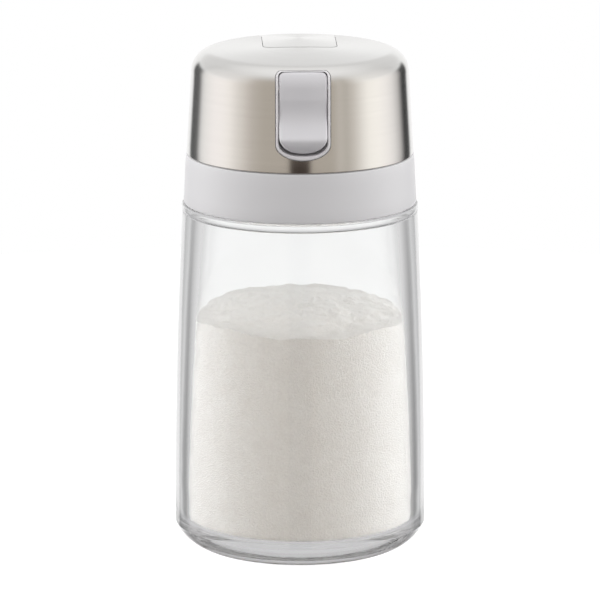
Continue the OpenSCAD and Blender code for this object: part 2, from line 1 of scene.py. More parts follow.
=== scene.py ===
from math import atan, atan2, cos, degrees, hypot, radians, sin, sqrt, tau

import bmesh
import bpy
from mathutils import Matrix, Vector, noise


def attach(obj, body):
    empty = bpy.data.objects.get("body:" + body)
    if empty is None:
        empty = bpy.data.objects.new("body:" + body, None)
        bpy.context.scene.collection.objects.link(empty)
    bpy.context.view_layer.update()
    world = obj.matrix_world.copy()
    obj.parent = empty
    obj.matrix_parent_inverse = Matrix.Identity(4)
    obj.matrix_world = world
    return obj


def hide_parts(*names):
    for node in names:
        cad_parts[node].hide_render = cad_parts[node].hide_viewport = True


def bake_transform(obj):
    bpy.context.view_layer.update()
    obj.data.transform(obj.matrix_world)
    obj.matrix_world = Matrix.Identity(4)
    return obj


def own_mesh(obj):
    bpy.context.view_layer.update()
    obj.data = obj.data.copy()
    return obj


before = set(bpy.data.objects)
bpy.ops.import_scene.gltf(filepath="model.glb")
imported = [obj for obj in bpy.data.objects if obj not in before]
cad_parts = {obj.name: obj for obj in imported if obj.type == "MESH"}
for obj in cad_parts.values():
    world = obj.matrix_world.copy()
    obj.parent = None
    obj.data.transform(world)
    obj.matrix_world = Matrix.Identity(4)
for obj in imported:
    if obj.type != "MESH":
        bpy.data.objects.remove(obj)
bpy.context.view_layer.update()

scene = bpy.context.scene


def placed(name, data):
    """A new object of a mesh, curve or camera, put into the scene"""
    made = bpy.data.objects.new(name, data)
    scene.collection.objects.link(made)
    return made


# The camera of the photograph: a long lens, far off, a little above the lid and a little to the
# left of the lever.
CAMERA_AZIMUTH = 1.64
CAMERA_ELEVATION = 12.863
CAMERA_DISTANCE = 1.6476
AIM = Vector((0, 0, 0.07498))
FOCAL_PIXELS, PHOTO_WIDTH = 5465.1, 600

camera_data = bpy.data.cameras.new("camera")
camera_data.sensor_width = 36
camera_data.lens = camera_data.sensor_width * FOCAL_PIXELS / PHOTO_WIDTH
camera_data.clip_start = 0.01
camera = placed("camera", camera_data)
towards = Vector((-sin(radians(CAMERA_AZIMUTH)) * cos(radians(CAMERA_ELEVATION)),
                  -cos(radians(CAMERA_AZIMUTH)) * cos(radians(CAMERA_ELEVATION)),
                  sin(radians(CAMERA_ELEVATION))))
camera.location = AIM + towards * CAMERA_DISTANCE
camera.rotation_euler = (-towards).to_track_quat("-Z", "Y").to_euler()
scene.camera = camera
scene.view_settings.view_transform = "Standard"
scene.cycles.max_bounces = 80
scene.cycles.transmission_bounces = 80
scene.cycles.glossy_bounces = 48


# The studio: a white sweep behind, a tall softbox on each side, a dim room in front with the dark
# shape of the camera stand in it, and a paler ceiling. The camera itself sees plain white.
def feed(socket, value):
    """Links an input to an output, or sets its value"""
    if isinstance(value, bpy.types.NodeSocket):
        socket.id_data.links.new(value, socket)
    else:
        socket.default_value = value


def adder(tree):
    """A function that adds a node, sets its fields and fills or links its inputs"""
    def add(kind, fields=None, **inputs):
        node = tree.nodes.new(kind)
        for key, value in (fields or {}).items():
            setattr(node, key, value)
        for key, value in inputs.items():
            numbered = key[0] == "_" and key[1:].isdigit()
            feed(node.inputs[int(key[1:]) if numbered else key.replace("_", " ")], value)
        return node
    return add


def material(name):
    """An empty node material, and a function that adds a node to it"""
    made = bpy.data.materials.new(name)
    made.use_nodes = True
    made.node_tree.nodes.clear()
    return made, adder(made.node_tree)


def on_object(add):
    """The place on the object itself"""
    return add("ShaderNodeTexCoord").outputs["Object"]


def ramp(add, value, stops):
    """A colour ramp of stops: (place, grey) or (place, colour)"""
    node = add("ShaderNodeValToRGB", Fac=value)
    band = node.color_ramp.elements
    while len(band) < len(stops):
        band.new(0.5)
    for spot, (place, shade) in zip(band, sorted(stops, key=lambda s: s[0])):
        spot.position = place
        spot.color = (*(shade if isinstance(shade, tuple) else (shade,) * 3), 1)
    return node.outputs["Color"]


def maths(add, operation, a, b=0.0, c=0.0):
    """One step of arithmetic on values"""
    return add("ShaderNodeMath", {"operation": operation}, _0=a, _1=b, _2=c).outputs[0]


def mixed(add, amount, a, b, mode="MIX"):
    """Colour a turned into colour b by an amount, or multiplied by it"""
    return add("ShaderNodeMix", {"data_type": "RGBA", "blend_type": mode}, _0=amount, _6=a, _7=b).outputs[2]


world = bpy.data.worlds.new("studio")
scene.world = world
world.use_nodes = True
world.node_tree.nodes.clear()
add = adder(world.node_tree)
way = add("ShaderNodeTexCoord").outputs["Generated"]
turned = add("ShaderNodeVectorRotate", {"rotation_type": "Z_AXIS"}, Vector=way,
             Angle=radians(CAMERA_AZIMUTH))
axes = add("ShaderNodeSeparateXYZ", Vector=turned.outputs[0])
heading = maths(add, "DIVIDE", maths(add, "ARCTAN2", axes.outputs[0], axes.outputs[1]), tau)
heading = maths(add, "ADD", heading, 0.5)
height = maths(add, "ADD", maths(add, "MULTIPLY", axes.outputs[2], 0.5), 0.5)


def bearings(*stops):
    """Ramp over the heading: (degrees from straight behind, left of it negative, shade)"""
    return ramp(add, heading, [(0.5 + angle / 360, shade) for angle, shade in stops])


def rises(*stops):
    """Ramp over the elevation in degrees"""
    return ramp(add, height, [(0.5 + 0.5 * sin(radians(angle)), shade) for angle, shade in stops])


# What polished and brushed faces mirror
walls = bearings(
    (-180, (0.56, 0.505, 0.44)), (-142, (0.57, 0.52, 0.455)), (-129, (0.66, 0.61, 0.55)),
    (-120, (0.84, 0.78, 0.725)), (-112, (0.96, 0.91, 0.86)), (-102, (1.17, 1.12, 1.07)),
    (-92, (1.23, 1.18, 1.15)), (-80, (1.22, 1.17, 1.15)), (-66, (1.08, 1.06, 1.04)),
    (-58, (0.94, 0.93, 0.92)), (-49, 0.14), (-32, 0.09), (-27, 1.05), (0, 1.08), (27, 1.05), (32, 0.05),
    (46, 0.05), (56, (0.66, 0.64, 0.63)), (67, (1.0, 0.97, 0.95)), (77, (1.17, 1.13, 1.1)),
    (91, (1.28, 1.24, 1.18)), (104, (1.24, 1.2, 1.13)), (112, (1.06, 1.02, 0.96)), (121, (0.8, 0.75, 0.69)),
    (131, (0.6, 0.56, 0.5)), (139, (0.7, 0.65, 0.59)), (146, (0.56, 0.51, 0.445)), (180, (0.56, 0.505, 0.44)))
ceiling = rises((0, (1.16, 1.18, 1.185)), (13, (1.14, 1.16, 1.165)), (15.5, 0.97), (19, 0.9), (24, 0.86),
                (42, 0.86), (58, 1.02), (75, 1.12), (90, 1.1))
tall = bearings((-180, 1), (-130, 1), (-100, 0.4), (-60, 0.3), (-45, 0),
                (45, 0), (60, 0.3), (100, 0.4), (130, 1), (180, 1))
top_of_walls = mixed(add, tall, rises((0, 0), (11, 0), (14, 1), (90, 1)),
                     rises((0, 0), (28, 0), (62, 1), (90, 1)))
mirrored = mixed(add, top_of_walls, walls, ceiling)
ahead = bearings((-180, 1), (-170.5, 1), (-168.5, 0), (168.5, 0), (170.5, 1), (180, 1))
stand = maths(add, "MULTIPLY", ahead, rises((-90, 1), (2, 1), (9, 0), (90, 0)))
mirrored = mixed(add, stand, mirrored, (0.042, 0.028, 0.022, 1))
mirrored = mixed(add, rises((-90, 1), (-32, 1), (-22, 0), (90, 0)), mirrored, (0.065, 0.05, 0.04, 1))

# What lights matt faces: a softbox on each side, a paler ceiling, a dim warm room in front
lamps = bearings(
    (-180, (0.42, 0.4, 0.395)), (-132, (0.44, 0.42, 0.415)), (-112, 2.4), (-55, 2.4), (-40, 1.0),
    (40, 1.0), (55, 1.75), (85, 1.9), (100, 2.3), (118, 2.3), (136, (0.44, 0.42, 0.415)),
    (180, (0.42, 0.4, 0.395)))
lamps = mixed(add, 1.0, lamps, rises((-90, 0.4), (-15, 0.5), (-4, 1), (90, 1)), "MULTIPLY")
lamps = mixed(add, rises((0, 0), (26, 0), (42, 1), (90, 1)), lamps, (0.87, 0.87, 0.87, 1))

# What lights the sugar and the inside of the lid through the glass
filling = bearings(
    (-180, (0.83, 0.74, 0.65)), (-134, (0.9, 0.83, 0.76)), (-112, 3.3), (-55, 3.2), (-40, 1.5), (40, 1.5),
    (55, 3.3), (118, 3.4), (138, (0.9, 0.83, 0.76)), (180, (0.83, 0.74, 0.65)))
filling = mixed(add, 1.0, filling, rises((-90, 0.4), (-15, 0.45), (-2, 0.8), (8, 1.25), (90, 1.2)),
                "MULTIPLY")

# What clear glass shows: white, a dark edge where the backdrop ends, and a soft grey wherever its
# rims and its base throw the view up or down. Its walls, seen along, show the same a little darker.
through = bearings(
    (-180, 0.95), (-60, 0.9), (-46, 0.8), (-36, 0.68), (-30, 0.78), (-24, 0.93), (-18, 1),
    (18, 1), (24, 0.93), (30, 0.78), (36, 0.68), (46, 0.8), (60, 0.9), (180, 0.95))
along = bearings(
    (-180, 0.75), (-120, 0.9), (-90, 1), (-60, 0.95), (-50, 0.78), (-44.5, 0.6), (-40.5, 0.46), (-36, 0.3),
    (-31, 0.42), (-25, 0.84), (-17, 0.76), (-10, 0.7), (0, 0.66), (10, 0.7), (17, 0.76), (25, 0.84),
    (31, 0.42), (36, 0.25), (40.5, 0.36), (44.5, 0.52), (50, 0.74), (60, 0.95), (90, 1), (120, 0.9),
    (180, 0.75))
thrown = rises((-90, 1), (-24, 1), (-17, 0), (-11, 0), (-1, 1), (90, 1))
clear_view = mixed(add, thrown, through, (0.64, 0.635, 0.645, 1))
washed = mixed(add, thrown, along, (0.58, 0.575, 0.585, 1))

path = add("ShaderNodeLightPath")
in_glass = path.outputs["Is Transmission Ray"]
was_matt = maths(add, "GREATER_THAN", path.outputs["Diffuse Depth"], 0.5)
was_shiny = maths(add, "GREATER_THAN", path.outputs["Glossy Depth"], 0.5)
glazed = mixed(add, was_shiny, clear_view, washed)
direct = mixed(add, in_glass, mixed(add, path.outputs["Is Glossy Ray"], lamps, mirrored), glazed)
shown = mixed(add, was_matt, direct, mixed(add, in_glass, lamps, filling))
shown = mixed(add, path.outputs["Is Camera Ray"], shown, (1, 1, 1, 1))
shell = add("ShaderNodeBackground", Color=shown, Strength=1.0)
add("ShaderNodeOutputWorld", Surface=shell.outputs[0])


# The table: a plain white disc that keeps a faint shadow. Steel and glass look through it to the
# studio.
floor_mesh = bpy.data.meshes.new("floor")
bm = bmesh.new()
bmesh.ops.create_circle(bm, cap_ends=True, segments=96, radius=0.42)
bm.to_mesh(floor_mesh)
bm.free()
floor = placed("floor", floor_mesh)
table_white, add = material("table_white")
path = add("ShaderNodeLightPath")
matt = add("ShaderNodeBsdfDiffuse", Color=(0.25, 0.25, 0.25, 1))
glow = add("ShaderNodeEmission", Color=(1, 1, 1, 1), Strength=0.94)
bright = add("ShaderNodeAddShader", _0=matt.outputs[0], _1=glow.outputs[0])
table = add("ShaderNodeMixShader", _0=path.outputs["Is Camera Ray"], _1=matt.outputs[0],
            _2=bright.outputs[0])
unseen = maths(add, "MAXIMUM", path.outputs["Is Transmission Ray"], path.outputs["Is Glossy Ray"])
gone = add("ShaderNodeBsdfTransparent")
whole = add("ShaderNodeMixShader", _0=unseen, _1=table.outputs[0], _2=gone.outputs[0])
add("ShaderNodeOutputMaterial", Surface=whole.outputs[0])
floor_mesh.materials.append(table_white)


# Glass jar: pressed in one piece, with a thick base that is hollow underneath, a rounded heel that
# ends in a crease, a wall that draws in towards the top, a bead and a neck with four thread starts.
def chain(bm, outline, closed=False):
    """Draws an outline of (radius, height[, rounding]) as edges in the XZ plane, in millimetres"""
    corners = [bm.verts.new((p[0], 0, p[1])) for p in outline]
    for a, b in zip(corners, corners[1:] + (corners[:1] if closed else [])):
        bm.edges.new((a, b))
    roundings = {}
    for corner, p in zip(corners, outline):
        if len(p) > 2:
            roundings.setdefault(p[2], []).append(corner)
    for size, group in roundings.items():
        bmesh.ops.bevel(bm, geom=group, offset=size, segments=8, profile=0.5, affect="VERTICES", material=-1)


def lathe(outline, steps=192, closed=False):
    """Spins an outline right round the upright axis"""
    bm = bmesh.new()
    chain(bm, outline, closed)
    bmesh.ops.spin(bm, geom=bm.verts[:] + bm.edges[:], axis=(0, 0, 1), cent=(0, 0, 0), angle=tau,
                   steps=steps, use_merge=True)
    bmesh.ops.remove_doubles(bm, verts=bm.verts, dist=1e-4)
    bmesh.ops.dissolve_degenerate(bm, edges=bm.edges, dist=1e-5)
    bmesh.ops.recalc_face_normals(bm, faces=bm.faces)
    return bm


def piece(bm, name, body, slot, finish, *nodes, crease=22):
    """Makes a mesh in millimetres into a piece that rides on a body and stands for CAD nodes"""
    bmesh.ops.scale(bm, vec=(0.001, 0.001, 0.001), verts=bm.verts)
    mesh = bpy.data.meshes.new(name)
    bm.to_mesh(mesh)
    bm.free()
    mesh.polygons.foreach_set("use_smooth", [True] * len(mesh.polygons))
    mesh.set_sharp_from_angle(angle=radians(crease))
    mesh.materials.append(finish)
    made = placed(name, mesh)
    if body:
        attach(made, body)
    if nodes:
        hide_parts(*nodes)
    return made


def arc(c, r, a0, a1, n):
    """Points of an arc round c, from angle a0 to a1 in degrees"""
    return [(c[0] + r * cos(radians(a0 + (a1 - a0) * i / n)), c[1] + r * sin(radians(a0 + (a1 - a0) * i / n)))
            for i in range(n + 1)]


def cubic(p, n):
    """Points of a cubic curve through p[0] and p[3]"""
    return [tuple(p[0][k] * (1 - t) ** 3 + 3 * p[1][k] * t * (1 - t) ** 2 + 3 * p[2][k] * t * t * (1 - t)
                  + p[3][k] * t ** 3 for k in (0, 1)) for t in (i / n for i in range(n + 1))]


JAR_H, JAR_R, JAR_TAPER, HEEL_H = 105.3, 37.8, 2.6, 7.3
FOOT_R, PUNT_R, PUNT_D, BASE_T, INNER_CORNER = 26.9, 22.0, 1.5, 7.5, 3.0
BEAD_H, BEAD_OUT, BEAD_ROUND, BEAD_SWELL = 2.2, 0.16, 0.9, 2.2
NECK_R, BORE_R, NECK_TOP, NECK_FOOT, NECK_FILLET, NECK_ROUND = 31.2, 28.2, 117.58, 0.95, 0.6, 0.8
WALL_LOW, WALL_TOP, WALL_Z, THROAT_Z, THROAT_H = 4.1, 6.5, 19.0, 104.9, 2.7


def jar_wall(z):
    """Outer radius of the jar at height z"""
    return JAR_R - JAR_TAPER * ((z - HEEL_H) / (JAR_H - HEEL_H)) ** 2


def inner_wall(z):
    """Inner radius of the jar at height z: the wall thickens evenly towards the neck"""
    return jar_wall(z) - WALL_LOW - (WALL_TOP - WALL_LOW) * max(0, z - WALL_Z) / (THROAT_Z - WALL_Z)


heel_r = ((JAR_R - FOOT_R) ** 2 + HEEL_H ** 2) / (2 * HEEL_H)
bead_z = JAR_H - BEAD_H
bead_r = jar_wall(bead_z) + BEAD_OUT
ledge_top = JAR_H + 0.25
neck_rows = [JAR_H + NECK_FOOT + (NECK_TOP - 0.9 - JAR_H - NECK_FOOT) * i / 44 for i in range(45)]
corner_z = BASE_T + INNER_CORNER
corner_r = inner_wall(corner_z)
jar_outline = (
    [(0, PUNT_D), (PUNT_R - 2, PUNT_D, 0.6), (PUNT_R, 0, 0.5)]
    + arc((FOOT_R, heel_r), heel_r, -90, degrees(atan2(HEEL_H - heel_r, JAR_R - FOOT_R)), 28)
    + [(jar_wall(z), z) for z in (HEEL_H + 0.02 + (bead_z - 0.15 - HEEL_H) * i / 40 for i in range(41))]
    + arc((bead_r - BEAD_SWELL, bead_z + 1.13), BEAD_SWELL, -31, -1, 10)
    + arc((bead_r - BEAD_ROUND, ledge_top - BEAD_ROUND), BEAD_ROUND, 0, 90, 10)
    + arc((NECK_R + NECK_FILLET, ledge_top + NECK_FILLET), NECK_FILLET, 270, 184, 6)
    + [(NECK_R, z) for z in neck_rows]
    + arc((NECK_R - NECK_ROUND, NECK_TOP - NECK_ROUND), NECK_ROUND, 4, 90, 8)
    + arc((BORE_R + NECK_ROUND, NECK_TOP - NECK_ROUND), NECK_ROUND, 90, 180, 8)
    + cubic([(BORE_R, THROAT_Z + THROAT_H), (BORE_R, THROAT_Z + THROAT_H * 0.5),
             (inner_wall(THROAT_Z), THROAT_Z + THROAT_H * 0.4), (inner_wall(THROAT_Z), THROAT_Z)], 16)
    + [(inner_wall(z), z) for z in (THROAT_Z + (corner_z - THROAT_Z) * i / 50 for i in range(1, 51))]
    + arc((corner_r - INNER_CORNER, corner_z), INNER_CORNER, 0, -90, 12)[1:]
    + [(0, BASE_T)])
bm = lathe(jar_outline, 256)

STARTS, LEAD, SWEEP, CREST, THREAD_FROM, RIDGE_HALF, RUN_IN = 4, 12.0, 84.0, 1.15, 4.2, 1.25, 0.08
for v in bm.verts:
    r = hypot(v.co.x, v.co.y)
    if JAR_H + 1 < v.co.z < NECK_TOP - 1 and abs(r - NECK_R) < 0.05:
        turn = degrees(atan2(v.co.y, v.co.x)) % (360 / STARTS)
        share = turn / SWEEP
        off = abs(v.co.z - (JAR_H + THREAD_FROM + LEAD * turn / 360)) / RIDGE_HALF
        if share < 1 and off < 1:
            fade = min(1, min(share, 1 - share) / RUN_IN)
            push = CREST * fade * (1 - off ** 3) ** 0.8
            v.co.x *= 1 + push / r
            v.co.y *= 1 + push / r

clear_glass, add = material("clear_glass")
# The glass's colour greys where it is seen edge-on: painted shade for the dark edges of the thick glass.
edge = add("ShaderNodeLayerWeight", Blend=0.5)
painted_edge_shade = ramp(add, edge.outputs["Facing"], [(0, (0.988, 0.993, 0.992)), (0.6, (0.975, 0.98, 0.98)),
                                          (0.9, (0.94, 0.945, 0.95)), (1, (0.82, 0.82, 0.83))])
spots = add("ShaderNodeTexNoise", Vector=on_object(add), Scale=60.0, Detail=2.0)
waves = add("ShaderNodeBump", Strength=0.06, Distance=0.0006, Height=spots.outputs["Fac"])
clearness = add("ShaderNodeBsdfPrincipled", Base_Color=painted_edge_shade, Roughness=0.0, IOR=1.5,
                Transmission_Weight=1.0, Normal=waves.outputs[0])
add("ShaderNodeOutputMaterial", Surface=clearness.outputs[0])
piece(bm, "jar_glass", "jar", "glass", clear_glass, "jar", crease=16)


# Sugar: the jar's contents, a little over half full. It lies a hair inside the glass and its top is
# an uneven heap that slopes down towards the lever's side.
FILL_Z, SLOPE, HEAP, AIR, SIDE_ROWS, TOP_RINGS = 72.4, 1.9, 1.5, 0.14, 30, 70
rim_r = inner_wall(FILL_Z) - AIR
bm = lathe(
    [(0, BASE_T + 0.1)]
    + arc((corner_r - INNER_CORNER, corner_z), INNER_CORNER - AIR, -90, 0, 8)
    + [(inner_wall(z) - AIR, z) for z in (corner_z + (FILL_Z - corner_z) * i / SIDE_ROWS
                                          for i in range(1, SIDE_ROWS + 1))]
    + [(rim_r * (1 - i / TOP_RINGS), FILL_Z) for i in range(1, TOP_RINGS + 1)], 200)
for v in bm.verts:
    if v.co.z > corner_z:
        share_up = min(1, (v.co.z - corner_z) / (FILL_Z - corner_z))
        r = hypot(v.co.x, v.co.y)
        on_top = abs(v.co.z - FILL_Z) < 1e-3
        heap = SLOPE * v.co.y / rim_r + HEAP * (1 - (r / rim_r) ** 2)
        lumps = (1.1 * noise.noise(v.co * 0.07) + 0.75 * noise.noise(v.co * 0.22)
                 + 0.28 * noise.noise(v.co * 0.8))
        v.co.z += heap * share_up ** 3 + lumps * share_up ** 20
        if on_top:
            v.co.z += 0.12 * noise.noise(v.co * 2.6)

white_sugar, add = material("white_sugar")
spot = on_object(add)
grains = add("ShaderNodeTexVoronoi", Vector=spot, Scale=2200.0)
clumps = add("ShaderNodeTexNoise", Vector=spot, Scale=190.0, Detail=5.0, Roughness=0.6)
tone = ramp(add, clumps.outputs["Fac"], [(0.3, (0.93, 0.912, 0.885)), (0.7, (0.965, 0.955, 0.935))])
sparkle = ramp(add, grains.outputs["Color"], [(0.0, 0.9), (1.0, 1.0)])
tone = mixed(add, 1.0, tone, sparkle, "MULTIPLY")
rough = add("ShaderNodeBump", Strength=0.5, Distance=0.0003, Height=grains.outputs["Distance"])
crystals = add("ShaderNodeBsdfPrincipled", Base_Color=tone, Roughness=0.75, Normal=rough.outputs[0])
add("ShaderNodeOutputMaterial", Surface=crystals.outputs[0])
piece(bm, "sugar", "jar", "sugar", white_sugar, crease=60)


# Jar gasket: a soft white silicone ring that lies between the jar's rim and the lid, and stays in
# the lid when it is unscrewed.
silicone, add = material("silicone")
dust = add("ShaderNodeTexNoise", Vector=on_object(add), Scale=900.0, Detail=3.0)
milky = ramp(add, dust.outputs["Fac"], [(0.3, (0.78, 0.78, 0.77)), (0.7, (0.84, 0.84, 0.83))])
soft = add("ShaderNodeBsdfPrincipled", Base_Color=milky, Roughness=0.5)
add("ShaderNodeOutputMaterial", Surface=soft.outputs[0])


def repaint(node, finish):
    """Gives a carried-over CAD node its finish"""
    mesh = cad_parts[node].data
    mesh.materials.clear()
    mesh.materials.append(finish)


repaint("jar_gasket", silicone)


# Collar: a moulded ring in a light grey plastic, with a satin face, four lugs for the lid screws
# and four thread ridges inside that run under those of the neck.
def cad_copy(node):
    """A CAD node's solid as a mesh in millimetres, its loose triangles joined"""
    bm = bmesh.new()
    bm.from_mesh(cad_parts[node].data)
    bmesh.ops.scale(bm, vec=(1000, 1000, 1000), verts=bm.verts)
    bmesh.ops.remove_doubles(bm, verts=bm.verts, dist=1e-4)
    return bm


def join(bm, other):
    """Adds a second mesh to the first and frees it"""
    mesh = bpy.data.meshes.new("joined")
    other.to_mesh(mesh)
    other.free()
    bm.from_mesh(mesh)
    bpy.data.meshes.remove(mesh)


def texture_group(name, measure):
    """An empty node group from a place and a measure to a tone and a height, its adder and its inputs"""
    group = bpy.data.node_groups.new(name, "ShaderNodeTree")
    for socket, kind, way in (("Vector", "Vector", "INPUT"), (measure, "Float", "INPUT"),
                              ("Tone", "Float", "OUTPUT"), ("Height", "Float", "OUTPUT")):
        group.interface.new_socket(name=socket, in_out=way, socket_type="NodeSocket" + kind)
    add = adder(group)
    inlet = add("NodeGroupInput")
    return group, add, inlet.outputs[0], inlet.outputs[1]


# Fine moulded grain
moulded_grain, add, spot, scale = texture_group("moulded_grain", "Scale")
fine = add("ShaderNodeTexNoise", Vector=spot, Scale=scale, Detail=4.0)
broad = add("ShaderNodeTexNoise", Vector=spot, Scale=45.0, Detail=2.0)
add("NodeGroupOutput", _0=broad.outputs["Fac"], _1=fine.outputs["Fac"])


def moulding(name, dark, light, roughness, bump):
    """A moulded plastic: two close tones, a fine grain and its roughness"""
    made, add = material(name)
    grain = add("ShaderNodeGroup", {"node_tree": moulded_grain}, Vector=on_object(add), Scale=2600.0)
    tone = ramp(add, grain.outputs["Tone"], [(0.3, dark), (0.7, light)])
    sheen = maths(add, "MULTIPLY_ADD", grain.outputs["Height"], 0.12, roughness)
    dents = add("ShaderNodeBump", Strength=bump, Distance=0.00005, Height=grain.outputs["Height"])
    body = add("ShaderNodeBsdfPrincipled", Base_Color=tone, Roughness=sheen, Normal=dents.outputs[0])
    add("ShaderNodeOutputMaterial", Surface=body.outputs[0])
    return made


COLLAR_Z, CAP_Z, THREAD_R = 105.63, 120.38, 33.0
RIDGE_IN, RIDGE_OUT, RIDGE_FOOT, RIDGE_CREST, RIDGE_STEPS = 0.2, 1.2, 1.1, 0.4, 40
ridge_z = COLLAR_Z + 1.6
section = [(THREAD_R + RIDGE_IN, ridge_z - RIDGE_FOOT), (THREAD_R, ridge_z - RIDGE_FOOT),
           (THREAD_R - RIDGE_OUT, ridge_z - RIDGE_CREST), (THREAD_R - RIDGE_OUT, ridge_z + RIDGE_CREST),
           (THREAD_R, ridge_z + RIDGE_FOOT), (THREAD_R + RIDGE_IN, ridge_z + RIDGE_FOOT)]
collar_plastic = moulding("collar_plastic", (0.8, 0.795, 0.81), (0.82, 0.815, 0.83), 0.38, 0.25)
bm = cad_copy("collar")
for start in range(STARTS):
    ridge = bmesh.new()
    face = ridge.faces.new([ridge.verts.new((r, 0, z)) for r, z in section])
    bmesh.ops.spin(ridge, geom=[face], axis=(0, 0, 1), cent=(0, 0, 0), angle=radians(SWEEP),
                   dvec=(0, 0, LEAD * SWEEP / 360 / RIDGE_STEPS), steps=RIDGE_STEPS)
    turn = Matrix.Rotation(radians(360 / STARTS * start), 3, "Z")
    bmesh.ops.rotate(ridge, cent=(0, 0, 0), matrix=turn, verts=ridge.verts)
    bmesh.ops.recalc_face_normals(ridge, faces=ridge.faces)
    join(bm, ridge)
piece(bm, "collar_ring", "lid", "collar_plastic", collar_plastic, "collar")


# Steel cap: drawn from thin sheet and brushed all round, with a window for the lever at the front
# and a mouth for the flap behind. The flap's skin is cut from the same drawing.
CAP_H, CAP_R, CAP_TAPER, DOME_RISE, SHOULDER_R = 32.42, 34.02, 1.83, 1.6, 6.4
STEEL_T, LOW_EDGE_R = 0.6, 0.58
TOP_Z = CAP_Z + CAP_H
side_slope = CAP_TAPER / (CAP_H - DOME_RISE)
side_n = hypot(1, side_slope)
eave_r = CAP_R - CAP_TAPER
dome_r = (eave_r ** 2 + DOME_RISE ** 2) / (2 * DOME_RISE)
dome_z = TOP_Z - dome_r


def cap_side(z, d=0):
    """Radius of the cap's side at height z, d further in"""
    return CAP_R - side_slope * (z - CAP_Z) - d * side_n


reach = cap_side(dome_z) - SHOULDER_R * side_n
room_r = dome_r - SHOULDER_R
climb = (reach * side_slope + sqrt((side_n * room_r) ** 2 - reach ** 2)) / side_n ** 2
shoulder = (reach - side_slope * climb, dome_z + climb)
arc_from = degrees(atan(side_slope))
arc_to = degrees(atan2(climb, shoulder[0]))


def cap_line(d, z, steps=24):
    """Outline of the drawn cap, d inside its face, from height z to the middle of the dome"""
    dome = [(max(0, (dome_r - d) * cos(a)), dome_z + (dome_r - d) * sin(a))
            for a in (radians(arc_to + (90 - arc_to) * i / 14) for i in range(1, 15))]
    side = [(cap_side(h, d), h) for h in (z + (shoulder[1] - z) * i / 8 for i in range(8))]
    return side + arc(shoulder, SHOULDER_R - d, arc_from, arc_to, steps) + dome


def shield(half, top, low, corner, end_h, power, n=40):
    """Front outline of the bezel or the lever, as (x, z): rounded upper corners and a bulging end"""
    straight = 10
    right = arc((half - corner, top - corner), corner, 90, 0, 8)
    left = arc((corner - half, top - corner), corner, 180, 90, 8)
    end = []
    for i in range(n + 1):
        a = radians(180 + 180 * i / n)
        end.append((half * cos(a), low + end_h * (1 - (1 - abs(cos(a)) ** power) ** (1 / power))))
    down = [(half, top - corner - (top - corner - low - end_h) * i / straight) for i in range(1, straight)]
    up = [(-half, low + end_h + (top - corner - low - end_h) * i / straight) for i in range(1, straight)]
    return right + down + end[::-1] + up + left


def prism(corners, reach):
    """A solid of a flat outline, drawn out along a vector"""
    bm = bmesh.new()
    face = bm.faces.new([bm.verts.new(corner) for corner in corners])
    moved = bmesh.ops.extrude_face_region(bm, geom=[face])["geom"]
    bmesh.ops.translate(bm, vec=reach, verts=[v for v in moved if isinstance(v, bmesh.types.BMVert)])
    bmesh.ops.recalc_face_normals(bm, faces=bm.faces)
    return bm


def along_y(outline, y0, y1):
    """A solid with a front outline of (x, z), from y0 to y1"""
    return prism([(x, y0, z) for x, z in outline], (0, y1 - y0, 0))


def up_z(outline, z0, z1):
    """A solid with a ground outline of (x, y), from z0 to z1"""
    return prism([(x, y, z0) for x, y in outline], (0, 0, z1 - z0))


def carve(bm, *tools):
    """Cuts a mesh by (operation, mesh) pairs, exactly"""
    def loose(source, name):
        mesh = bpy.data.meshes.new(name)
        source.to_mesh(mesh)
        source.free()
        return placed(name, mesh)
    blank = loose(bm, "blank")
    cutters = []
    for operation, tool in tools:
        cutter = loose(tool, "cutter")
        cutters.append(cutter)
        cut = blank.modifiers.new("cut", "BOOLEAN")
        cut.operation, cut.object, cut.solver = operation, cutter, "EXACT"
    bpy.context.view_layer.update()
    baked = bpy.data.meshes.new_from_object(blank.evaluated_get(bpy.context.evaluated_depsgraph_get()))
    bm = bmesh.new()
    bm.from_mesh(baked)
    for spent in [blank, *cutters]:
        mesh = spent.data
        bpy.data.objects.remove(spent)
        bpy.data.meshes.remove(mesh)
    bpy.data.meshes.remove(baked)
    bmesh.ops.remove_doubles(bm, verts=bm.verts, dist=1e-4)
    return bm


def streaks(add, r, z, turn, lines, swirl, detail):
    """Noise drawn out round the upright axis: fine over radius and height, long over the turn"""
    long = add("ShaderNodeCombineXYZ", X=maths(add, "MULTIPLY", r, lines),
               Y=maths(add, "MULTIPLY", z, lines), Z=maths(add, "MULTIPLY", turn, swirl))
    return add("ShaderNodeTexNoise", Vector=long.outputs[0], Scale=1.0, Detail=detail).outputs["Fac"]


# Brushing round the upright axis
round_brushing, add, spot, lines = texture_group("round_brushing", "Lines")
x, y, z = add("ShaderNodeSeparateXYZ", Vector=spot).outputs
r = maths(add, "SQRT", maths(add, "ADD", maths(add, "MULTIPLY", x, x), maths(add, "MULTIPLY", y, y)))
turn = maths(add, "ARCTAN2", y, x)
add("NodeGroupOutput", _0=streaks(add, r, z, turn, maths(add, "MULTIPLY", lines, 0.16), 0.8, 2.0),
    _1=streaks(add, r, z, turn, lines, 3.0, 3.0))

